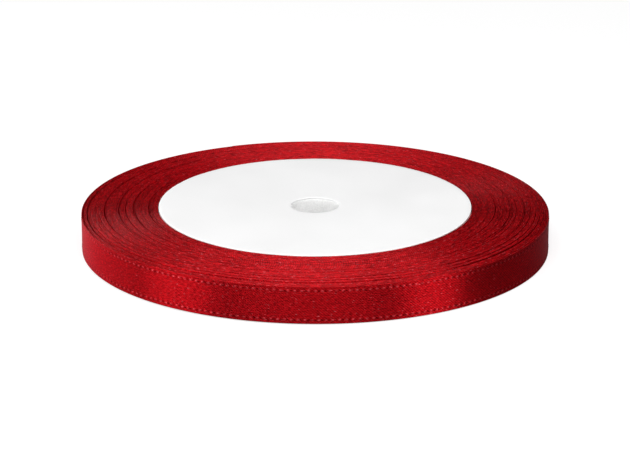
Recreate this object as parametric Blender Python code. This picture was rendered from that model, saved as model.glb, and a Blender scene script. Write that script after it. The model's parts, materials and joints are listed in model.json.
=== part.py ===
"""A roll of satin ribbon on a flat foam core, lying on its side.

The spool's axis is Z and it stands on z = 0. A white foam disc with a centre hole carries a white paper
label on each face. 25 yards of 10 mm satin ribbon are wound on it: the first end is fixed to the core with
a strip of tape, and the last end is a loose tail held down by a tab of clear tape.

The ribbon is wound anticlockwise as seen from above, so the radius grows with the angle and the tail points
towards larger angles. Lifting the tail turns it outwards about a line parallel to Z.
"""

import math

import bmesh
import bpy

MM = 0.001

# Driving dimensions
RIBBON_WIDTH = 10.0 * MM
RIBBON_LENGTH = 22860.0 * MM  # 25 yards
RIBBON_THICKNESS = 0.24 * MM
CORE_RADIUS = 42.0 * MM
ROLL_RADIUS = 63.0 * MM
HOLE_RADIUS = 6.5 * MM
SPOOL_HEIGHT = 11.5 * MM  # over both labels
LABEL_THICKNESS = 0.3 * MM
TAPE_THICKNESS = 0.1 * MM
GAP = 0.35 * MM  # between neighbouring solids

# One turn of ribbon takes this much of the radius: the ring's area is the ribbon's length times its pitch.
TURN_PITCH = math.pi * (ROLL_RADIUS**2 - CORE_RADIUS**2) / RIBBON_LENGTH

# The roll has slipped down on its core like a telescope: its first turns are nearly level with the upper
# face and its last ones stand on the table, most of the fall being near the rim.
TOP_TURN_DROP = 0.1 * MM  # from the upper face to the first turn
KNEE_RADIUS = 56.0 * MM
KNEE_LIFT = 0.9 * MM
SHOULDER = 0.3 * MM  # rounding of the roll's outer corners

# The loose end, on the far side of the spool
TAIL_END_ANGLE = math.radians(112.0)
TAIL_ARC = math.radians(40.0)
STEP_ARC = math.radians(0.4)  # over which the last full turn drops to the one below
TAIL_CLEARANCE = math.radians(0.5)  # between that step and the tail's first edge
TAPE_WIDTH = 8.0 * MM
TAPE_OVERLAP_ARC = math.radians(10.0)  # on each side of the ribbon's cut end
TAPE_DROP_ARC = math.radians(1.0)  # over which the tape comes down from the ribbon to the roll

# The strip of tape under the first turn
START_TAPE_ANGLE = math.radians(250.0)
START_TAPE_ARC = math.radians(24.0)
START_TAPE_WIDTH = 8.0 * MM
POCKET_CLEARANCE = math.radians(0.6)  # at each end of the hollow that the roll leaves for it

FOAM_EDGE = 0.5 * MM  # rounding of the core's rim
ROUND_STEPS = 96  # facets round a full turn
ROUNDING_STEPS = 3  # facets round a quarter corner


def material(name, colour, roughness):
    """A plain Principled material."""
    made = bpy.data.materials.new(name)
    made.use_nodes = True
    shader = made.node_tree.nodes["Principled BSDF"]
    shader.inputs["Base Color"].default_value = (*colour, 1.0)
    shader.inputs["Roughness"].default_value = roughness
    shader.inputs["Metallic"].default_value = 0.0
    made.diffuse_color = (*colour, 1.0)
    return made


def add_object(name, shape, finish):
    """Puts a finished bmesh in the scene as one named object, round faces shaded smooth."""
    bmesh.ops.recalc_face_normals(shape, faces=shape.faces)
    mesh = bpy.data.meshes.new(name)
    shape.to_mesh(mesh)
    shape.free()
    mesh.materials.append(finish)
    mesh.shade_smooth()
    mesh.set_sharp_from_angle(angle=math.radians(30.0))
    made = bpy.data.objects.new(name, mesh)
    bpy.context.scene.collection.objects.link(made)
    return made


def section_loop(shape, angle, section):
    """One closed loop of vertices: a section of (radius, height) points standing at an angle about Z."""
    return [
        shape.verts.new((radius * math.cos(angle), radius * math.sin(angle), height))
        for radius, height in section
    ]


def skin(shape, loop, following):
    """Quads between two section loops."""
    count = len(loop)
    for i in range(count):
        j = (i + 1) % count
        shape.faces.new((loop[i], loop[j], following[j], following[i]))


def ring(name, section_at, angles, finish):
    """A closed ring about Z whose section may change with the angle."""
    shape = bmesh.new()
    loops = [section_loop(shape, angle, section_at(angle)) for angle in angles]
    for loop, following in zip(loops, loops[1:] + loops[:1]):
        skin(shape, loop, following)
    return add_object(name, shape, finish)


def strip(name, section_at, angles, finish):
    """A strip bent about Z, with flat ends."""
    shape = bmesh.new()
    loops = [section_loop(shape, angle, section_at(angle)) for angle in angles]
    for loop, following in zip(loops, loops[1:]):
        skin(shape, loop, following)
    shape.faces.new(loops[0])
    shape.faces.new(loops[-1])
    return add_object(name, shape, finish)


def band_section(inside, thickness, width, middle_height):
    """The section of a flat band standing on edge."""
    outside = inside + thickness
    base = middle_height - width / 2
    top = middle_height + width / 2
    return [(inside, base), (outside, base), (outside, top), (inside, top)]


def even_angles(count):
    return [math.tau * i / count for i in range(count)]


def arc_angles(start, end):
    """Angles from one end of an arc to the other, as fine as a full turn's."""
    count = math.ceil(ROUND_STEPS * (end - start) / math.tau) + 1
    return [start + (end - start) * i / count for i in range(count + 1)]


def quarter_round(centre_radius, centre_height, size, first, last):
    """Points along a rounded corner, from one direction in degrees to another."""
    turn = (last - first) / ROUNDING_STEPS
    directions = [math.radians(first + turn * i) for i in range(ROUNDING_STEPS + 1)]
    return [(centre_radius + size * math.cos(a), centre_height + size * math.sin(a)) for a in directions]


def foam_section(_angle):
    """The foam disc's section, from the hole's wall to the rounded rim."""
    base = LABEL_THICKNESS + GAP
    top = SPOOL_HEIGHT - LABEL_THICKNESS - GAP
    rim = CORE_RADIUS - FOAM_EDGE
    return [
        (HOLE_RADIUS, base),
        *quarter_round(rim, base + FOAM_EDGE, FOAM_EDGE, -90.0, 0.0),
        *quarter_round(rim, top - FOAM_EDGE, FOAM_EDGE, 0.0, 90.0),
        (HOLE_RADIUS, top),
    ]


def label_section(base):
    """The section of a punched paper disc, whose outside meets the foam's rim."""
    top = base + LABEL_THICKNESS
    return lambda _angle: [(HOLE_RADIUS, base), (CORE_RADIUS, base), (CORE_RADIUS, top), (HOLE_RADIUS, top)]


def hinge_angle():
    """Where the ribbon leaves the roll and becomes the loose tail."""
    return TAIL_END_ANGLE - TAIL_ARC


def turns_past_hinge(angle):
    """How much of a turn lies between the tail's root and this angle, from 0 to 1."""
    return ((angle - hinge_angle()) % math.tau) / math.tau


def roll_radius(angle):
    """Outside of the roll: one ribbon lower just past the tail's root, and back up over the whole turn."""
    past = turns_past_hinge(angle)
    step = STEP_ARC / math.tau
    if past < step:
        return ROLL_RADIUS - TURN_PITCH * past / step
    return ROLL_RADIUS - TURN_PITCH * (1.0 - past)


def bore_radius(angle):
    """Inside of the roll: it stands clear of the core, and further out over the starting tape."""
    off_centre = abs((angle - START_TAPE_ANGLE + math.pi) % math.tau - math.pi)
    over_tape = off_centre < START_TAPE_ARC / 2 + POCKET_CLEARANCE + STEP_ARC / 2
    return CORE_RADIUS + GAP + (TAPE_THICKNESS + GAP if over_tape else 0.0)


def winding_section(angle):
    """The wound ribbon's section: both edges fall gently to the knee and faster to the rim."""
    inner = bore_radius(angle)
    shoulder = roll_radius(angle) - SHOULDER
    top = RIBBON_WIDTH
    first_lift = SPOOL_HEIGHT - TOP_TURN_DROP - RIBBON_WIDTH
    return [
        (inner, first_lift),
        (KNEE_RADIUS, KNEE_LIFT),
        *quarter_round(shoulder, SHOULDER, SHOULDER, -90.0, 0.0),
        *quarter_round(shoulder, top - SHOULDER, SHOULDER, 0.0, 90.0),
        (KNEE_RADIUS, KNEE_LIFT + top),
        (inner, first_lift + top),
    ]


def winding_angles():
    """Even steps, with two more at the outside's step and at each end of the hollow over the starting tape."""
    half = START_TAPE_ARC / 2 + POCKET_CLEARANCE
    hollow_ends = [START_TAPE_ANGLE + side * (half + step) for side in (-1, 1) for step in (0.0, STEP_ARC)]
    steps = [hinge_angle(), hinge_angle() + STEP_ARC, *hollow_ends]
    even = [a for a in even_angles(ROUND_STEPS) if all(abs(a - step) > STEP_ARC for step in steps)]
    return sorted(even + steps)


def build_core():
    foam = material("white_foam", (0.86, 0.86, 0.85), 0.85)
    paper = material("white_paper", (0.93, 0.93, 0.93), 0.55)
    ring("foam_core", foam_section, even_angles(ROUND_STEPS), foam)
    ring("label_lower", label_section(0.0), even_angles(ROUND_STEPS), paper)
    ring("label_upper", label_section(SPOOL_HEIGHT - LABEL_THICKNESS), even_angles(ROUND_STEPS), paper)


def build_winding(satin):
    ring("ribbon_winding", winding_section, winding_angles(), satin)
    masking = material("masking_tape", (0.78, 0.72, 0.56), 0.7)
    section = band_section(CORE_RADIUS + GAP, TAPE_THICKNESS, START_TAPE_WIDTH, SPOOL_HEIGHT / 2)
    angles = arc_angles(START_TAPE_ANGLE - START_TAPE_ARC / 2, START_TAPE_ANGLE + START_TAPE_ARC / 2)
    strip("start_tape", lambda _angle: section, angles, masking)


def build_tail(satin):
    """The loose end, and the tab of tape over its cut edge, hung on an empty that stands on their hinge line."""
    clear = material("clear_tape", (0.85, 0.87, 0.86), 0.15)
    root = hinge_angle() + STEP_ARC + TAIL_CLEARANCE
    inside = roll_radius(TAIL_END_ANGLE) + GAP
    tail_section = band_section(inside, RIBBON_THICKNESS, RIBBON_WIDTH, RIBBON_WIDTH / 2)
    tail = strip("ribbon_tail", lambda _angle: tail_section, arc_angles(root, TAIL_END_ANGLE), satin)

    past_edge = TAIL_END_ANGLE + TAIL_CLEARANCE
    landing = past_edge + TAPE_DROP_ARC
    on_ribbon = band_section(inside + RIBBON_THICKNESS + GAP, TAPE_THICKNESS, TAPE_WIDTH, RIBBON_WIDTH / 2)
    on_roll = band_section(inside, TAPE_THICKNESS, TAPE_WIDTH, RIBBON_WIDTH / 2)
    angles = arc_angles(TAIL_END_ANGLE - TAPE_OVERLAP_ARC, past_edge)
    angles += arc_angles(landing, TAIL_END_ANGLE + TAPE_OVERLAP_ARC)
    tape = strip("end_tape", lambda angle: on_roll if angle >= landing else on_ribbon, angles, clear)

    hinge = bpy.data.objects.new("tail_hinge", None)
    hinge.location = (inside * math.cos(root), inside * math.sin(root), 0.0)
    bpy.context.scene.collection.objects.link(hinge)
    bpy.context.view_layer.update()
    for piece in (tail, tape):
        piece.parent = hinge
        piece.matrix_parent_inverse = hinge.matrix_world.inverted()


def main():
    for old in list(bpy.data.objects):
        bpy.data.objects.remove(old)
    satin = material("red_satin", (0.42, 0.008, 0.02), 0.4)
    build_core()
    build_winding(satin)
    build_tail(satin)


main()
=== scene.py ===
import json
import math

import bpy
import numpy as np
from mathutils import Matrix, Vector


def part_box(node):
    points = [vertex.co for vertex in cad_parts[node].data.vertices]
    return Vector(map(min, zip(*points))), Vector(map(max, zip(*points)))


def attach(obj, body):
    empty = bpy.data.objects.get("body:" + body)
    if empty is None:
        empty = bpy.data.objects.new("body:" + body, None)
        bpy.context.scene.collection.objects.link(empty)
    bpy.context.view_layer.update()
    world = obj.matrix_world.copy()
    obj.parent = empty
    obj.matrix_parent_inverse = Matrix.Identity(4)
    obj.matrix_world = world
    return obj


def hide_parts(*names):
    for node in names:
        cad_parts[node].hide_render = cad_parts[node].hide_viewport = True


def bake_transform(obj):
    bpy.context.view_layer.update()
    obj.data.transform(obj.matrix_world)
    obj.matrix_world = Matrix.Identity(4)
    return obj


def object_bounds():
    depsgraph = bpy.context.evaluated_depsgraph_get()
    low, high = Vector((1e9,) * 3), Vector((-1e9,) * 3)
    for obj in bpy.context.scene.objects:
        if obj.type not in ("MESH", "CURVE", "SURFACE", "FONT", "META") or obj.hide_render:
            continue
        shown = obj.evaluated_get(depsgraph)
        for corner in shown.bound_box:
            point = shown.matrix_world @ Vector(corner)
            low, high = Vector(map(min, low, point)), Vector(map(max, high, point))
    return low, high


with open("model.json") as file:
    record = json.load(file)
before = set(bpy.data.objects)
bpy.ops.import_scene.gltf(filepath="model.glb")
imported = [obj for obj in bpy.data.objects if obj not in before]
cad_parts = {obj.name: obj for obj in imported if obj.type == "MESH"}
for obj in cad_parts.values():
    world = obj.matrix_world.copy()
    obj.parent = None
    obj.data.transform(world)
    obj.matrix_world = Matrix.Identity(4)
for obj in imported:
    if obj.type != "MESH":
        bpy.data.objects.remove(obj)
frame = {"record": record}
cad_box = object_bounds()


# ---- Foam core ----
# The disc that the ribbon is wound on: white closed-cell foam, punched out of a thick sheet together with
# its centre hole. The punch leaves a clean face and a slightly crushed, open-celled wall.

core_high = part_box("foam_core")[1]
lower_label_low, lower_label_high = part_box("label_lower")
upper_label_low, upper_label_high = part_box("label_upper")
core_radius = core_high.x
HOLE_RADIUS = 0.0065
CORE_EDGE = 0.0004  # rounding left by the punch
CELL_DENT = 0.00005
DENT_LENGTH = 0.003
DENT_REACH = 0.001  # from the hole's wall into the foam, where the dents end
GLUE_LINE = 0.00002  # between the foam and each card disc
CORE_STEPS = 240  # round the disc


def skin(name, points, along, around, ring=False):
    """A closed skin over points[row, column]. Quads join each row to the next, and each row closes on
    itself. Rows run from end to end with a flat cap on each, or join up in a ring. The UV map holds
    along[row] and around[column] in metres, with one mark more than the points where the grid closes."""
    rows, columns = points.shape[:2]
    row = np.arange(rows if ring else rows - 1)[:, None, None]
    column = np.arange(columns)[None, :, None]
    row_step = np.array([0, 1, 1, 0])
    column_step = np.array([0, 0, 1, 1])
    corners = (row + row_step) % rows * columns + (column + column_step) % columns
    faces = corners.reshape(-1, 4).tolist()
    u = np.broadcast_to(along[row + row_step], corners.shape).ravel()
    v = np.broadcast_to(around[column + column_step], corners.shape).ravel()
    if not ring:
        first = np.arange(columns)
        last = first[::-1]
        faces += [first.tolist(), (last + (rows - 1) * columns).tolist()]
        u = np.concatenate([u, np.full(columns, along[0]), np.full(columns, along[rows - 1])])
        v = np.concatenate([v, around[first], around[last]])
    mesh = bpy.data.meshes.new(name)
    mesh.from_pydata(points.reshape(-1, 3).tolist(), [], faces)
    layer = mesh.uv_layers.new(name="cloth")
    layer.uv.foreach_set("vector", np.stack([u, v], -1).astype(np.float32).ravel())
    mesh.shade_smooth()
    mesh.set_sharp_from_angle(angle=math.radians(60))
    piece = bpy.data.objects.new(name, mesh)
    bpy.context.scene.collection.objects.link(piece)
    return piece


def about_axis(radius, angle, height):
    """Points at a radius and an angle about the spool's axis, at a height."""
    radius, angle, height = np.broadcast_arrays(radius, angle, height)
    return np.stack([radius * np.cos(angle), radius * np.sin(angle), height], -1)


def round_corner(radius, height, size, first, last, count=5):
    """Section points on a circle about (radius, height), from one direction in degrees to another."""
    turn = np.radians(np.linspace(first, last, count))
    return np.stack([radius + size * np.cos(turn), height + size * np.sin(turn)], -1)


def ripple(x, y, longest, seed, waves=7):
    """Gentle unevenness from -1 to 1: plane waves of falling length that cross at random angles, averaged."""
    chance = np.random.default_rng(seed)
    total = np.zeros(np.broadcast(x, y).shape)
    for length in longest / np.linspace(1.0, 3.2, waves):
        heading, start = chance.uniform(0, math.tau, 2)
        total = total + np.sin(math.tau * (x * np.cos(heading) + y * np.sin(heading)) / length + start)
    return total / waves


def turned_disc(name, section, steps, dent=None):
    """A section of (radius, height) points turned about the spool's axis, each point moved by dent."""
    angle = np.linspace(0, math.tau, steps, endpoint=False)[:, None]
    points = about_axis(section[None, :, 0], angle, section[None, :, 1])
    if dent is not None:
        points = points + dent(points)
    sides = np.linalg.norm(np.diff(section, axis=0, append=section[:1]), axis=1)
    along = np.linspace(0, math.tau * section[:, 0].max(), steps + 1)
    return skin(name, points, along, np.concatenate([[0], np.cumsum(sides)]), ring=True)


def crushed_cells(points):
    """Moves the hole's wall in and out by a fine ripple that fades with the distance from the wall."""
    x, y, z = np.moveaxis(points, -1, 0)
    radius = np.hypot(x, y)
    near_hole = np.clip((HOLE_RADIUS + DENT_REACH - radius) / DENT_REACH, 0, 1)
    wobble = CELL_DENT * near_hole * ripple(np.arctan2(y, x) * HOLE_RADIUS, z, DENT_LENGTH, seed=11)
    return np.stack([x / radius * wobble, y / radius * wobble, 0 * z], -1)


core_base = lower_label_high.z + GLUE_LINE
core_top = upper_label_low.z - GLUE_LINE
wall_height = np.linspace(core_top - 2 * CORE_EDGE, core_base + 2 * CORE_EDGE, 30)
core_section = np.concatenate([
    round_corner(HOLE_RADIUS + CORE_EDGE, core_base + CORE_EDGE, CORE_EDGE, 180, 270),
    round_corner(core_radius - CORE_EDGE, core_base + CORE_EDGE, CORE_EDGE, 270, 360),
    round_corner(core_radius - CORE_EDGE, core_top - CORE_EDGE, CORE_EDGE, 0, 90),
    round_corner(HOLE_RADIUS + CORE_EDGE, core_top - CORE_EDGE, CORE_EDGE, 90, 180),
    np.stack([np.full_like(wall_height, HOLE_RADIUS), wall_height], -1),
])
foam_disc = turned_disc("foam_disc", core_section, CORE_STEPS, crushed_cells)


class Nodes:
    """A material's or a node group's tree, with short calls for adding a node and for joining sockets."""

    def __init__(self, tree):
        self.tree = tree

    def add(self, kind, **settings):
        """A node of that kind with those settings."""
        node = self.tree.nodes.new(kind)
        for name, value in settings.items():
            setattr(node, name, value)
        return node

    def put(self, node, **values):
        """Sets or joins a node's inputs, named with _ for spaces, or in_0, in_1 where the names repeat."""
        for name, value in values.items():
            key = int(name[3:]) if name.startswith("in_") else name.replace("_", " ")
            socket = node.inputs[key]
            if isinstance(value, bpy.types.NodeSocket):
                self.tree.links.new(value, socket)
            else:
                socket.default_value = value
        return node

    def math(self, operation, first, second=0.0, third=0.0):
        """One operation of the Math node on two or three numbers or sockets."""
        node = self.add("ShaderNodeMath", operation=operation)
        return self.put(node, in_0=first, in_1=second, in_2=third).outputs[0]

    def noise(self, vector, scale, detail=2.0, roughness=0.5):
        """Cloudy noise from 0 to 1, about 1 / scale metres from one cloud to the next."""
        node = self.add("ShaderNodeTexNoise")
        return self.put(node, Vector=vector, Scale=scale, Detail=detail, Roughness=roughness).outputs["Fac"]

    def stretched(self, vector, scale):
        """A place multiplied by its own number on each axis, so that noise on it draws out into threads."""
        node = self.add("ShaderNodeMapping")
        return self.put(node, Vector=vector, Scale=scale).outputs["Vector"]

    def ramp(self, value, low, high, dark, light):
        """Maps value from low..high to dark..light and holds it there outside."""
        node = self.add("ShaderNodeMapRange", clamp=True)
        return self.put(node, in_0=value, in_1=low, in_2=high, in_3=dark, in_4=light).outputs[0]

    def wave(self, phase):
        """A smooth wave from 0 to 1."""
        return self.math("MULTIPLY_ADD", self.math("SINE", phase), 0.5, 0.5)

    def either(self, factor, first, second):
        """first where factor is 0, second where it is 1."""
        node = self.add("ShaderNodeMix", data_type="FLOAT")
        return self.put(node, in_0=factor, in_2=first, in_3=second).outputs[0]

    def tint(self, factor, dark, light):
        """A colour between two, each a colour's three numbers or a socket."""
        ends = [end if isinstance(end, bpy.types.NodeSocket) else (*end, 1.0) for end in (dark, light)]
        node = self.add("ShaderNodeMix", data_type="RGBA")
        return self.put(node, in_0=factor, in_6=ends[0], in_7=ends[1]).outputs[2]


def plain_finish(name, roughness, specular=0.5):
    """A material with a Principled shader: the material, its node helper and that shader."""
    made = bpy.data.materials.new(name)
    made.use_nodes = True
    nodes = Nodes(made.node_tree)
    shader = made.node_tree.nodes["Principled BSDF"]
    nodes.put(shader, Roughness=roughness, Specular_IOR_Level=specular)
    return made, nodes, shader


def bumped(nodes, shader, height, distance):
    """Gives the shader a bump as deep as distance, in metres, where height goes from 0 to 1."""
    bump = nodes.put(nodes.add("ShaderNodeBump"), Height=height, Distance=distance, Strength=1.0)
    nodes.put(shader, Normal=bump.outputs[0])


FOAM_LIGHT = (0.96, 0.96, 0.955)
FOAM_DARK = (0.86, 0.86, 0.855)
CELLS_PER_METRE = 2600.0
CELL_DEPTH = 0.00006
foam, nodes, shader = plain_finish("white_foam", 0.85, 0.3)
place = nodes.add("ShaderNodeTexCoord").outputs["Object"]
pattern = nodes.put(nodes.add("ShaderNodeTexVoronoi"), Vector=place, Scale=CELLS_PER_METRE)
cells = pattern.outputs["Distance"]
mottle = nodes.ramp(nodes.noise(place, 900.0, 4.0), 0.3, 0.6, 0.6, 1.0)
tone = nodes.math("MULTIPLY", nodes.ramp(cells, 0.1, 0.7, 0.0, 1.0), mottle)
nodes.put(shader, Base_Color=nodes.tint(tone, FOAM_LIGHT, FOAM_DARK))
bumped(nodes, shader, nodes.math("SUBTRACT", 1.0, cells), CELL_DEPTH)
foam_disc.data.materials.append(foam)
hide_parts("foam_core")
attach(foam_disc, "spool")


# ---- Card faces ----
# A disc of white coated card on each side of the foam, die-cut with the hole and glued all over. The cut
# edges are crisp, the surface has a faint orange peel, and the glue leaves it a little uneven.

CARD_EDGE = 0.00006  # rounding left by the die
CARD_WAVE = 0.00004
WAVE_LENGTH = 0.034
CARD_WHITE = (0.95, 0.95, 0.95)
CARD_SPECK = (0.76, 0.76, 0.75)
PEEL_DEPTH = 0.000006
CARD_STEPS = 320  # round each disc


def glue_waves(points):
    """Lifts and lowers a card by a long low ripple, both of its sides alike."""
    x, y, _ = np.moveaxis(points, -1, 0)
    return np.stack([0 * x, 0 * y, CARD_WAVE * ripple(x, y, WAVE_LENGTH, seed=5)], -1)


def card_section(low, high):
    """Points round a flat disc's section: across its lower side, up its rim, back over its upper side and
    down the hole, each corner slightly rounded."""
    inner = HOLE_RADIUS + CARD_EDGE
    outer = high.x - CARD_EDGE
    across = np.linspace(inner, outer, 40)[1:-1]
    return np.concatenate([
        round_corner(inner, low.z + CARD_EDGE, CARD_EDGE, 180, 270, 3),
        np.stack([across, np.full_like(across, low.z)], -1),
        round_corner(outer, low.z + CARD_EDGE, CARD_EDGE, 270, 360, 3),
        round_corner(outer, high.z - CARD_EDGE, CARD_EDGE, 0, 90, 3),
        np.stack([across[::-1], np.full_like(across, high.z)], -1),
        round_corner(inner, high.z - CARD_EDGE, CARD_EDGE, 90, 180, 3),
    ])


card, nodes, shader = plain_finish("white_card", 0.42)
place = nodes.add("ShaderNodeTexCoord").outputs["Object"]
peel = nodes.noise(place, 1500.0, 3.0)
drift = nodes.noise(place, 60.0, 2.0)
speck = nodes.ramp(nodes.noise(place, 2200.0, 1.0), 0.70, 0.78, 0.0, 0.35)
nodes.put(shader, Base_Color=nodes.tint(speck, CARD_WHITE, CARD_SPECK))
nodes.put(shader, Roughness=nodes.ramp(drift, 0.3, 0.7, 0.36, 0.50))
bumped(nodes, shader, peel, PEEL_DEPTH)

# The lower card is pressed flat by the table, so only the upper one shows the glue's waves.
lower_section = card_section(lower_label_low, lower_label_high)
upper_section = card_section(upper_label_low, upper_label_high)
for name, node, section, dent in (
    ("lower_card_face", "label_lower", lower_section, None),
    ("upper_card_face", "label_upper", upper_section, glue_waves),
):
    face = turned_disc(name, section, CARD_STEPS, dent)
    face.data.materials.append(card)
    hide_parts(node)
    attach(face, "spool")


# ---- Starting tape ----
# A strip of creped paper tape across the rim of the core, under the ribbon's first turn. It grips the
# ribbon's first end, and it can't be seen until the last of the ribbon is used.

start_low, start_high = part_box("start_tape")
START_TAPE_LENGTH = 0.0166
START_TAPE_THICKNESS = 0.00006
CREPE = (0.62, 0.50, 0.30)
CREPE_DARK = (0.50, 0.39, 0.22)
CREPE_DEPTH = 0.00003


def flat_band(thickness, width, count):
    """Section offsets, outwards and upwards, of a flat band on edge: up its outer side, down its inner."""
    up = np.linspace(-width / 2, width / 2, count)
    outer = np.stack([np.full(count, thickness / 2), up], -1)
    inner = np.stack([np.full(count, -thickness / 2), up[::-1]], -1)
    return np.concatenate([outer, inner])


start_middle = (start_low + start_high) / 2
start_radius = core_radius + START_TAPE_THICKNESS
start_angle = math.atan2(start_middle.y, start_middle.x)
start_turned = start_angle + np.linspace(-0.5, 0.5, 41) * START_TAPE_LENGTH / start_radius
strip = flat_band(START_TAPE_THICKNESS, start_high.z - start_low.z, 9)
strip_points = about_axis(
    start_radius + strip[None, :, 0], start_turned[:, None], start_middle.z + strip[None, :, 1]
)
strip_around = np.append(strip[:, 1], strip[0, 1])
start_strip = skin("start_strip", strip_points, start_turned * start_radius, strip_around)
crepe, nodes, shader = plain_finish("crepe_tape", 0.7)
place = nodes.add("ShaderNodeTexCoord").outputs["Object"]
folds = nodes.noise(nodes.stretched(place, (1.0, 1.0, 0.12)), 1800.0, 3.0)
nodes.put(shader, Base_Color=nodes.tint(folds, CREPE, CREPE_DARK))
bumped(nodes, shader, folds, CREPE_DEPTH)
start_strip.data.materials.append(crepe)
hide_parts("start_tape")
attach(start_strip, "spool")


# ---- Wound ribbon ----
# 25 yards of single-face polyester satin wound on the core, shiny side out. Only the edges of these turns
# show, as fine rings. The roll has slipped downwards, in packs of turns that moved together, and it has
# opened a little between them.

winding_low, winding_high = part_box("ribbon_winding")
RIBBON_WIDTH = 0.010
RIBBON_LENGTH = 22.86
RIBBON_THICKNESS = 0.00021
FIRST_TURN = 0.00025  # from the core to the middle of the first turn
SPIRAL_RISE = 0.00005  # of the loose end's root above half the roll's width
TAIL_ARC = math.radians(39.1)  # of ribbon that lifts
SEGMENTS = 160  # in one turn
PACK_ENDS = (0.11, 0.31, 0.50, 0.69, 0.93)  # where packs part, from 0 at the first turn to 1 outside
PACK_OPENING = 0.00034
RIM_STEPS = (0.76, 0.83, 0.885, 0.962, 0.982)  # where the last turns stepped down
RIM_OPENING = 0.00022
BUNCHES = 22  # of two or three turns each, between smaller openings
BUNCH_REACH = (0.02, 0.70)  # from the first of them to the last
BUNCH_OPENING = 0.00010
BACK_SHARE = 0.25  # of an opening's width that is left on the side it faces away from
LEAN = 0.5  # how much narrower an opening gets from its upper edge to half way down
TURN_GAP = 0.000006  # between the lower edges of two turns, where every opening has closed
STEP_TURNS = 0.1  # of a turn, over which the ribbon steps from one bunch to the next
RIM_FALL = 0.86  # of the height that the first turn stands off the table
FALL_POWER = 2.5
LEVEL_SPREAD = 0.00004  # between neighbouring bunches
TILT_SPREAD = 0.00008
LEAST_LIFT = 0.00002  # off the table

root = np.array(frame["record"]["behaviour"]["joints"][0]["pos_m"])  # the line where the loose end begins
root_angle = math.atan2(root[1], root[0])
first_radius = core_radius + FIRST_TURN
root_radius = (winding_high.x - winding_low.x) / 2 + SPIRAL_RISE - RIBBON_THICKNESS / 2
turns = (RIBBON_LENGTH - TAIL_ARC * root_radius) / (math.pi * (first_radius + root_radius))
turn_pitch = (root_radius - first_radius) / turns
first_lift = winding_high.z - RIBBON_WIDTH

# Packs open most on the left, as a leaning roll does, steps near the rim open in front, and bunches anywhere.
chance = np.random.default_rng(3)
opening_at = np.sort(np.concatenate([PACK_ENDS, RIM_STEPS, chance.uniform(*BUNCH_REACH, BUNCHES)]))
kind = [np.isin(opening_at, PACK_ENDS), np.isin(opening_at, RIM_STEPS)]
small_widths = BUNCH_OPENING * chance.uniform(0.3, 1.9, opening_at.size)
opening_width = np.select(kind, [PACK_OPENING, RIM_OPENING], small_widths)
opening_faces = np.select(kind, [math.pi, -math.pi / 2], chance.uniform(0, math.tau, opening_at.size))
bunch_middle = (np.append(opening_at, 1.0) + np.append(0.0, opening_at)) / 2
bunch_level = first_lift * (1 - RIM_FALL * bunch_middle**FALL_POWER)
bunch_level += chance.normal(0, LEVEL_SPREAD, bunch_middle.size) * (0.5 + bunch_middle)
bunch_tilt = chance.uniform(0, TILT_SPREAD, bunch_middle.size) * (0.5 + bunch_middle)
bunch_faces = chance.uniform(0, math.tau, bunch_middle.size)


def way_out(turned):
    """0 at the first turn, 1 at the root of the loose end. turned is the angle past that root."""
    return 1.0 + turned / (math.tau * turns)


def openings_passed(turned):
    """For each place and each opening: 0 inside the opening, 1 outside it, with a short smooth step."""
    step = (way_out(turned)[..., None] - opening_at) * turns / STEP_TURNS + 0.5
    step = np.clip(step, 0, 1)
    return step * step * (3 - 2 * step)


def turn_radius(turned, up=RIBBON_WIDTH / 2):
    """Radius of the ribbon, growing by one pitch in each turn. Each opening pushes what is outside it
    outwards, most on the side that it faces, and the turns close up evenly to make room for it. The turns
    lean apart, so an opening is widest at their upper edges, where up is half the ribbon's width."""
    side = 0.5 + 0.5 * np.cos(turned[..., None] + root_angle - opening_faces)
    width = opening_width * (BACK_SHARE + (1 - BACK_SHARE) * side**1.5)
    slack = (width * (openings_passed(turned) - way_out(turned)[..., None])).sum(-1)
    opened = 1 - LEAN + LEAN * up / (RIBBON_WIDTH / 2)
    return root_radius + turn_pitch * turned / math.tau + slack * opened


def ribbon_mark(turned):
    """Length of ribbon from its first end: the radius added up over the angle."""
    mean_radius = root_radius + turn_pitch * turned / math.tau / 2
    return RIBBON_LENGTH - TAIL_ARC * root_radius + mean_radius * turned


def edge_lift(turned):
    """Height of the ribbon's lower edge. Each bunch of turns has its own level, which falls towards the rim
    as a power of the way out, and is a little tilted. It never goes below the table."""
    level = bunch_level + bunch_tilt * np.cos(turned[..., None] + root_angle - bunch_faces)
    steps = (np.diff(level, axis=-1) * openings_passed(turned)).sum(-1)
    return np.maximum(level[..., 0] + steps, LEAST_LIFT)


def wound(name, turned, outwards, upwards, around):
    """Ribbon wound from turned[0] to turned[-1]. outwards and upwards are the section's offsets from the
    ribbon's middle, for each row or for all of them, and around is how far round the section each one is."""
    radius = turn_radius(turned[:, None], upwards) + outwards
    height = edge_lift(turned)[:, None] + RIBBON_WIDTH / 2 + upwards
    points = about_axis(radius, (turned + root_angle)[:, None], height)
    return skin(name, points, ribbon_mark(turned), around)


# The section of a hidden turn has only its two rounded edges, the lower one as thick as the turns' pitch, so
# that no light comes up between them. Round the section, the cloth's face is marked from -5 to 5 mm, and
# marks past those are on its edges and its back.
half = RIBBON_THICKNESS / 2
packed_half = (turn_pitch - TURN_GAP) / 2
packed_edge = round_corner(0, packed_half - RIBBON_WIDTH / 2, packed_half, -180, 0)
upper_edge = round_corner(0, RIBBON_WIDTH / 2 - half, half, 0, 180)
plain_section = np.concatenate([packed_edge, upper_edge])
edge_marks = np.linspace(0, 0.0002, 5) + RIBBON_WIDTH / 2
back_mark = 1.5 * RIBBON_WIDTH
plain_around = np.concatenate([-edge_marks[::-1], edge_marks, [back_mark]])

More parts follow.
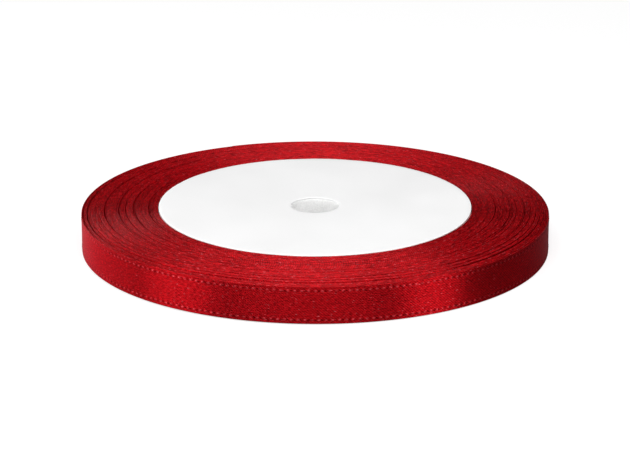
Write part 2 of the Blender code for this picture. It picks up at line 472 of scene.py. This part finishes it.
# Satin is the red cloth itself. Its shiny side is warp threads that run along the ribbon and float over
# seven wefts at a time, tied down at points that make a fine slanting lattice. Its edges are plain woven.
LATTICE = 0.00078  # along the ribbon, from one slanting line to the next
LOOP_ROW = 0.0039  # from the ribbon's middle to the row of thick weft loops near each edge
LOOP_SPACING = 0.00175
EDGE_LOOP = 0.00062  # where a weft turns round the ribbon's own edge
SATIN_DARK = (0.10, 0.0004, 0.0012)
SATIN_LIGHT = (0.80, 0.009, 0.016)
# The next colour is a painted highlight: the pale pink that a few scattered threads and the loops are tinted
# towards in the base colour, as if they caught the light.
SATIN_PAINTED_GLINT = (0.95, 0.16, 0.19)
SATIN_GRAZING = (1.0, 0.5, 0.53)  # tint of the gloss at a low angle
SATIN_ROUGHNESS = 0.48
EDGE_ROUGHNESS = 0.63
SATIN_METAL = 0.93  # how much of the light comes back as coloured gloss
EDGE_METAL = 0.45
THREAD_DEPTH = 0.000022


def satin_weave():
    """The node group for the cloth. Cloth is metres along and across the ribbon. It puts out the threads'
    Height from 0 to 1, their Tone round 1 with painted shade between the loops near each edge, a painted
    highlight from 0 to 1 on a few scattered threads and on those loops, and Edge on the edges."""
    group = bpy.data.node_groups.new("satin_weave", "ShaderNodeTree")
    group.interface.new_socket("Cloth", in_out="INPUT", socket_type="NodeSocketVector")
    for name in ("Height", "Tone", "Glint", "Edge"):
        group.interface.new_socket(name, in_out="OUTPUT", socket_type="NodeSocketFloat")
    nodes = Nodes(group)
    cloth = nodes.add("NodeGroupInput").outputs["Cloth"]
    parts = nodes.put(nodes.add("ShaderNodeSeparateXYZ"), Vector=cloth)
    along, across = parts.outputs["X"], parts.outputs["Y"]

    # The tie-down points: a strong set of slanting lines, crossed by a weak one.
    turn = nodes.math("MULTIPLY", along, math.tau / LATTICE)
    steep = nodes.wave(nodes.math("MULTIPLY_ADD", across, 1.1 * math.tau / LATTICE, turn))
    shallow = nodes.wave(nodes.math("MULTIPLY_ADD", across, -2.9 * math.tau / LATTICE, turn))
    lattice = nodes.math("MULTIPLY", steep, nodes.ramp(shallow, 0.0, 1.0, 0.45, 1.0))

    # The floats: long thin streaks along the ribbon, each thread a little lighter, darker, higher or lower.
    streaks = nodes.noise(nodes.stretched(cloth, (240.0, 4200.0, 1.0)), 1.0, 2.0)
    threads = nodes.noise(nodes.stretched(cloth, (1100.0, 3200.0, 1.0)), 1.0, 1.0)
    bolt = nodes.noise(nodes.stretched(cloth, (9.0, 160.0, 1.0)), 1.0, 2.0)
    # A painted highlight goes on the threads where this noise is high.
    painted_sparks = nodes.noise(nodes.stretched(cloth, (900.0, 2300.0, 1.0)), 1.0, 1.0)

    # The loops: a row of round bumps near each edge, each with a painted highlight, and painted shade on the
    # cloth that they pull down between them.
    side = nodes.math("GREATER_THAN", across, 0.0)
    beat = nodes.math("MULTIPLY_ADD", along, math.tau / LOOP_SPACING, nodes.math("MULTIPLY", side, math.pi))
    bead = nodes.math("COSINE", beat)
    off_row = nodes.math("ABSOLUTE", nodes.math("SUBTRACT", nodes.math("ABSOLUTE", across), LOOP_ROW))
    row = nodes.ramp(off_row, 0.00012, 0.00038, 1.0, 0.0)
    painted_bead_glints = nodes.math("MULTIPLY", row, nodes.ramp(bead, 0.1, 0.8, 0.0, 1.0))
    painted_bead_glints = nodes.math("MULTIPLY", painted_bead_glints, nodes.ramp(threads, 0.35, 0.65, 0.05, 0.38))
    # Painted shade: the cloth between the loops is darkened, most at the middle of each gap and not at all
    # near a loop.
    painted_shade_between_loops = nodes.math("MULTIPLY", row, nodes.ramp(bead, -0.9, -0.2, 1.0, 0.0))

    tone = nodes.ramp(threads, 0.36, 0.66, 0.70, 1.25)
    tone = nodes.math("ADD", tone, nodes.ramp(streaks, 0.3, 0.7, -0.16, 0.16))
    tone = nodes.math("ADD", tone, nodes.ramp(bolt, 0.3, 0.7, -0.08, 0.08))
    tone = nodes.math("ADD", tone, nodes.ramp(lattice, 0.0, 0.8, -0.22, 0.24))
    tone = nodes.math("SUBTRACT", tone, nodes.math("MULTIPLY", painted_shade_between_loops, 0.40))
    height = nodes.math("MULTIPLY_ADD", lattice, 0.55, nodes.math("MULTIPLY", streaks, 0.45))
    # Painted highlight, from 0 to 1, on the scattered threads and on the loops.
    painted_glint = nodes.math("MAXIMUM", nodes.ramp(painted_sparks, 0.66, 0.80, 0.0, 0.5), painted_bead_glints)

    # The ribbon's own edges lie past its half width, where the wefts turn round in small loops.
    away = nodes.math("SUBTRACT", nodes.math("ABSOLUTE", across), RIBBON_WIDTH / 2 - 0.00003)
    edge = nodes.ramp(away, 0.0, 0.00003, 0.0, 1.0)
    loops = nodes.wave(nodes.math("MULTIPLY", along, math.tau / EDGE_LOOP))
    fray = nodes.noise(nodes.stretched(cloth, (700.0, 900.0, 1.0)), 1.0, 2.0)
    edge_tone = nodes.ramp(fray, 0.35, 0.7, 0.65, 1.60)
    edge_tone = nodes.math("MULTIPLY", edge_tone, nodes.ramp(loops, 0.2, 1.0, 0.8, 1.15))
    edge_tone = nodes.math("ADD", edge_tone, nodes.ramp(bolt, 0.3, 0.7, -0.16, 0.14))
    # Painted highlight on a few scattered threads of the edges.
    edge_painted_glint = nodes.ramp(painted_sparks, 0.62, 0.80, 0.0, 0.6)
    out = nodes.add("NodeGroupOutput")
    nodes.put(out, Edge=edge, Height=nodes.either(edge, height, loops))
    nodes.put(out, Tone=nodes.either(edge, tone, edge_tone), Glint=nodes.either(edge, painted_glint, edge_painted_glint))
    return group


satin, nodes, shader = plain_finish("red_satin", SATIN_ROUGHNESS, 0.45)
woven = nodes.add("ShaderNodeGroup", node_tree=satin_weave())
nodes.put(woven, Cloth=nodes.add("ShaderNodeUVMap", uv_map="cloth").outputs[0])
on_edge = woven.outputs["Edge"]
red = nodes.tint(nodes.ramp(woven.outputs["Tone"], 0.3, 1.7, 0.0, 1.0), SATIN_DARK, SATIN_LIGHT)
# The base colour is tinted towards the painted highlight's pale pink.
nodes.put(shader, Base_Color=nodes.tint(woven.outputs["Glint"], red, SATIN_PAINTED_GLINT))
nodes.put(shader, Roughness=nodes.ramp(on_edge, 0.0, 1.0, SATIN_ROUGHNESS, EDGE_ROUGHNESS))
nodes.put(shader, Metallic=nodes.ramp(on_edge, 0.0, 1.0, SATIN_METAL, EDGE_METAL))
bumped(nodes, shader, woven.outputs["Height"], THREAD_DEPTH)

# The gloss is drawn out across the threads, because they are smooth only along themselves.
tangent = nodes.add("ShaderNodeTangent", direction_type="UV_MAP", uv_map="cloth").outputs[0]
nodes.put(shader, Specular_Tint=(*SATIN_GRAZING, 1.0))
nodes.put(shader, Anisotropic=0.95, Anisotropic_Rotation=0.25, Tangent=tangent)

LAST_TURN = math.radians(385)  # back from the root to where the visible turn begins
REELS = 3  # pieces that the hidden turns are made in
reel_ends = np.linspace(-math.tau * turns, -LAST_TURN, REELS + 1)
for number, (begin, end) in enumerate(zip(reel_ends[:-1], reel_ends[1:]), 1):
    turned = np.linspace(begin, end, int((end - begin) / math.tau * SEGMENTS))
    outwards, upwards = plain_section.T[:, None, :]
    reel = wound(f"wound_ribbon_{number}", turned, outwards, upwards, plain_around)
    reel.data.materials.append(satin)
    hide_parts("ribbon_winding")
    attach(reel, "spool")


# ---- Last turn ----
# The only turn whose face shows. A row of thick weft loops stands up a little way in from each edge, with a
# flat plain-woven margin outside it, and the cloth cups very slightly between the two.

OVERLAP = math.radians(15)  # of this turn that is made with the loose end
LOOP_HEIGHT = 0.00008
LOOP_WIDTH = 0.00020
MARGIN = 0.0004  # from the row of loops to the middle of the sunken margin outside it
MARGIN_WIDTH = 0.00015
CUP = 0.00002  # depth of the cup and of the margins

# Lines of points along the face, from its middle outwards, closest together at the loops
half_face = np.array([0.0, 0.9, 1.8, 2.7, 3.2, 3.45, 3.6, 3.7, 3.8, 3.9, 4.0, 4.1, 4.25, 4.45, 4.7]) / 1000
face_up = np.concatenate([-half_face[:0:-1], half_face])
lower_edge = round_corner(0, half - RIBBON_WIDTH / 2, half, -180, 0)
face_section = np.stack([np.full_like(face_up, half), face_up], -1)
fine_out, fine_up = np.concatenate([lower_edge, face_section, upper_edge]).T
fine_around = np.concatenate([-edge_marks[::-1], face_up, edge_marks, [back_mark]])


def selvedge(mark, up):
    """How far the face stands out: round loops at even spacing along two rows, one row half a step behind
    the other, a sunken margin outside each, and a shallow cup between them."""
    behind = np.where(up > 0, 0.5, 0.0)
    row = np.exp(-(((np.abs(up) - LOOP_ROW) / LOOP_WIDTH) ** 2))
    loop = (0.5 + 0.5 * np.cos(math.tau * (mark / LOOP_SPACING + behind))) ** 2
    margin = np.exp(-(((np.abs(up) - LOOP_ROW - MARGIN) / MARGIN_WIDTH) ** 2))
    cup = np.clip(np.abs(up) / LOOP_ROW, 0, 1) ** 2
    return LOOP_HEIGHT * row * loop - CUP * margin + CUP * cup


def fine_ribbon(name, begin, end):
    """A stretch of wound ribbon whose face stands out by its selvedge, in steps of an eighth of a loop."""
    steps = int((end - begin) * root_radius / (LOOP_SPACING / 8))
    turned = np.linspace(begin, end, steps)
    mark = ribbon_mark(turned)[:, None]
    on_face = np.where(fine_out >= half * 0.99, 1.0, 0.0)
    outwards = fine_out + on_face * selvedge(mark, fine_up[None, :])
    return wound(name, turned, outwards, fine_up[None, :], fine_around)


last_turn = fine_ribbon("last_turn", -LAST_TURN, -OVERLAP)
last_turn.data.materials.append(satin)
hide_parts("ribbon_winding")
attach(last_turn, "spool")


# ---- Loose end ----
# The ribbon's last 43 mm, cut across with a hot knife, which leaves a thin fused bead. It lies on the roll.

loose_end = fine_ribbon("loose_end", -OVERLAP, TAIL_ARC)
loose_end.data.materials.append(satin)
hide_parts("ribbon_tail")
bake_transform(loose_end)


# ---- Closing tape ----
# A tab of clear film tape, torn off on a toothed blade at both ends. Half of it is stuck to the ribbon's
# end, and the rest comes down over the cut edge onto the turn below.

tape_low, tape_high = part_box("end_tape")
TAPE_THICKNESS = 0.00005
TAPE_REACH = math.radians(10)  # on each side of the ribbon's cut end
TAPE_TOOTH = 0.0009
TOOTH_DEPTH = 0.00018
TAPE_FLOAT = 0.00007  # clear of the loops under it
DROP_START = 0.004  # past the cut end, as an angle
DROP_ARC = 0.016
FILM_GREY = (0.42, 0.42, 0.41)  # clear film hardly veils what is under it
BUBBLE_DEPTH = 0.000008
band = flat_band(TAPE_THICKNESS, tape_high.z - tape_low.z, 19)
tooth = 2 * TOOTH_DEPTH * np.abs((band[None, :, 1] / TAPE_TOOTH) % 1.0 - 0.5) / root_radius
way = np.linspace(0, 1, 120)[:, None]
tape_turned = TAIL_ARC + TAPE_REACH * (2 * way - 1) + tooth
drop = np.clip((tape_turned - TAIL_ARC - DROP_START) / DROP_ARC, 0, 1)
drop = drop * drop * (3 - 2 * drop)
tape_radius = turn_radius(tape_turned - math.tau * drop) + half + TAPE_FLOAT + band[None, :, 0]
tape_height = (tape_low.z + tape_high.z) / 2 + band[None, :, 1]
tape_points = about_axis(tape_radius, tape_turned + root_angle, tape_height)
tape_along = way[:, 0] * 2 * TAPE_REACH * root_radius
closing_tape = skin("closing_tape", tape_points, tape_along, np.append(band[:, 1], band[0, 1]))
film, nodes, shader = plain_finish("clear_film", 0.12, 1.0)
place = nodes.add("ShaderNodeTexCoord").outputs["Object"]
bubbles = nodes.noise(place, 700.0, 3.0)
nodes.put(shader, Base_Color=(*FILM_GREY, 1.0))
nodes.put(shader, Alpha=nodes.ramp(bubbles, 0.45, 0.65, 0.07, 0.10))
nodes.put(shader, Roughness=nodes.ramp(bubbles, 0.4, 0.6, 0.08, 0.16))
bumped(nodes, shader, bubbles, BUBBLE_DEPTH)
closing_tape.data.materials.append(film)
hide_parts("end_tape")
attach(closing_tape, "tail")


# ---- Studio ----
# A white sweep under the spool, two low softboxes on its left and one on its right, a wide one overhead, and
# a long lens a little above it. The sweep looks nearly white but throws little light back up at the ribbon.

FLOOR_HALF = 6.0
SWEEP_GREY = 0.33
SWEEP_GLOW = 0.74  # seen by the camera only
floor_mesh = bpy.data.meshes.new("floor")
floor_corners = [(x * FLOOR_HALF, y * FLOOR_HALF, 0.0) for x, y in ((-1, -1), (1, -1), (1, 1), (-1, 1))]
floor_mesh.from_pydata(floor_corners, [], [(0, 1, 2, 3)])
floor = bpy.data.objects.new("floor", floor_mesh)
bpy.context.scene.collection.objects.link(floor)
sweep, nodes, shader = plain_finish("white_sweep", 0.9, 0.1)
nodes.put(shader, Base_Color=(SWEEP_GREY, SWEEP_GREY, SWEEP_GREY, 1.0), Emission_Color=(1.0, 1.0, 1.0, 1.0))
seen = nodes.add("ShaderNodeLightPath").outputs["Is Camera Ray"]
nodes.put(shader, Emission_Strength=nodes.ramp(seen, 0.0, 1.0, 0.0, SWEEP_GLOW))
floor_mesh.materials.append(sweep)


def stand(item, aim, azimuth, elevation, distance):
    """Stands a lamp or the camera round the spool and turns it to the point that it aims at. Azimuth 0 is
    the camera's side, and it grows to the camera's right."""
    around, up = math.radians(azimuth), math.radians(elevation)
    away = Vector((math.sin(around) * math.cos(up), -math.cos(around) * math.cos(up), math.sin(up)))
    item.location = aim + distance * away
    item.rotation_euler = away.to_track_quat("Z", "Y").to_euler()
    bpy.context.scene.collection.objects.link(item)


LAMP_DISTANCE = 0.9
lamp_aim = Vector((0.0, 0.0, core_top))
for name, azimuth, elevation, width, height, watts in (
    ("left_softbox", -67, 11, 0.58, 0.40, 3.9),
    ("far_left_softbox", -122, 6, 1.10, 0.22, 3.4),
    ("right_softbox", 56, 14, 0.40, 0.60, 3.7),
    ("top_softbox", -6, 60, 0.90, 0.60, 9.6),
):
    lamp = bpy.data.lights.new(name, "AREA")
    lamp.shape = "RECTANGLE"
    lamp.size = width
    lamp.size_y = height
    lamp.energy = watts
    stand(bpy.data.objects.new(name, lamp), lamp_aim, azimuth, elevation, LAMP_DISTANCE)

ROOM_LIGHT = 0.03
world = bpy.data.worlds.new("studio")
world.use_nodes = True
background = world.node_tree.nodes["Background"]
background.inputs["Color"].default_value = (1.0, 1.0, 1.0, 1.0)
background.inputs["Strength"].default_value = ROOM_LIGHT
bpy.context.scene.world = world
bpy.context.scene.view_settings.view_transform = "Standard"

SPOOL_SHARE = 0.74  # of the picture's width
CAMERA_RADII = 14.7  # the camera's distance, in radii of the roll
CAMERA_ELEVATION = 18.5
CAMERA_AIM = 0.004  # above the table
spool_width = cad_box[1].x - cad_box[0].x
camera_distance = CAMERA_RADII * spool_width / 2
camera = bpy.data.cameras.new("camera")
camera.sensor_width = 36.0
camera.lens = camera.sensor_width * camera_distance * SPOOL_SHARE / spool_width
camera.clip_start = 0.05
camera.clip_end = 50.0
camera_item = bpy.data.objects.new("camera", camera)
stand(camera_item, Vector((0.0, 0.0, CAMERA_AIM)), 0, CAMERA_ELEVATION, camera_distance)
bpy.context.scene.camera = camera_item
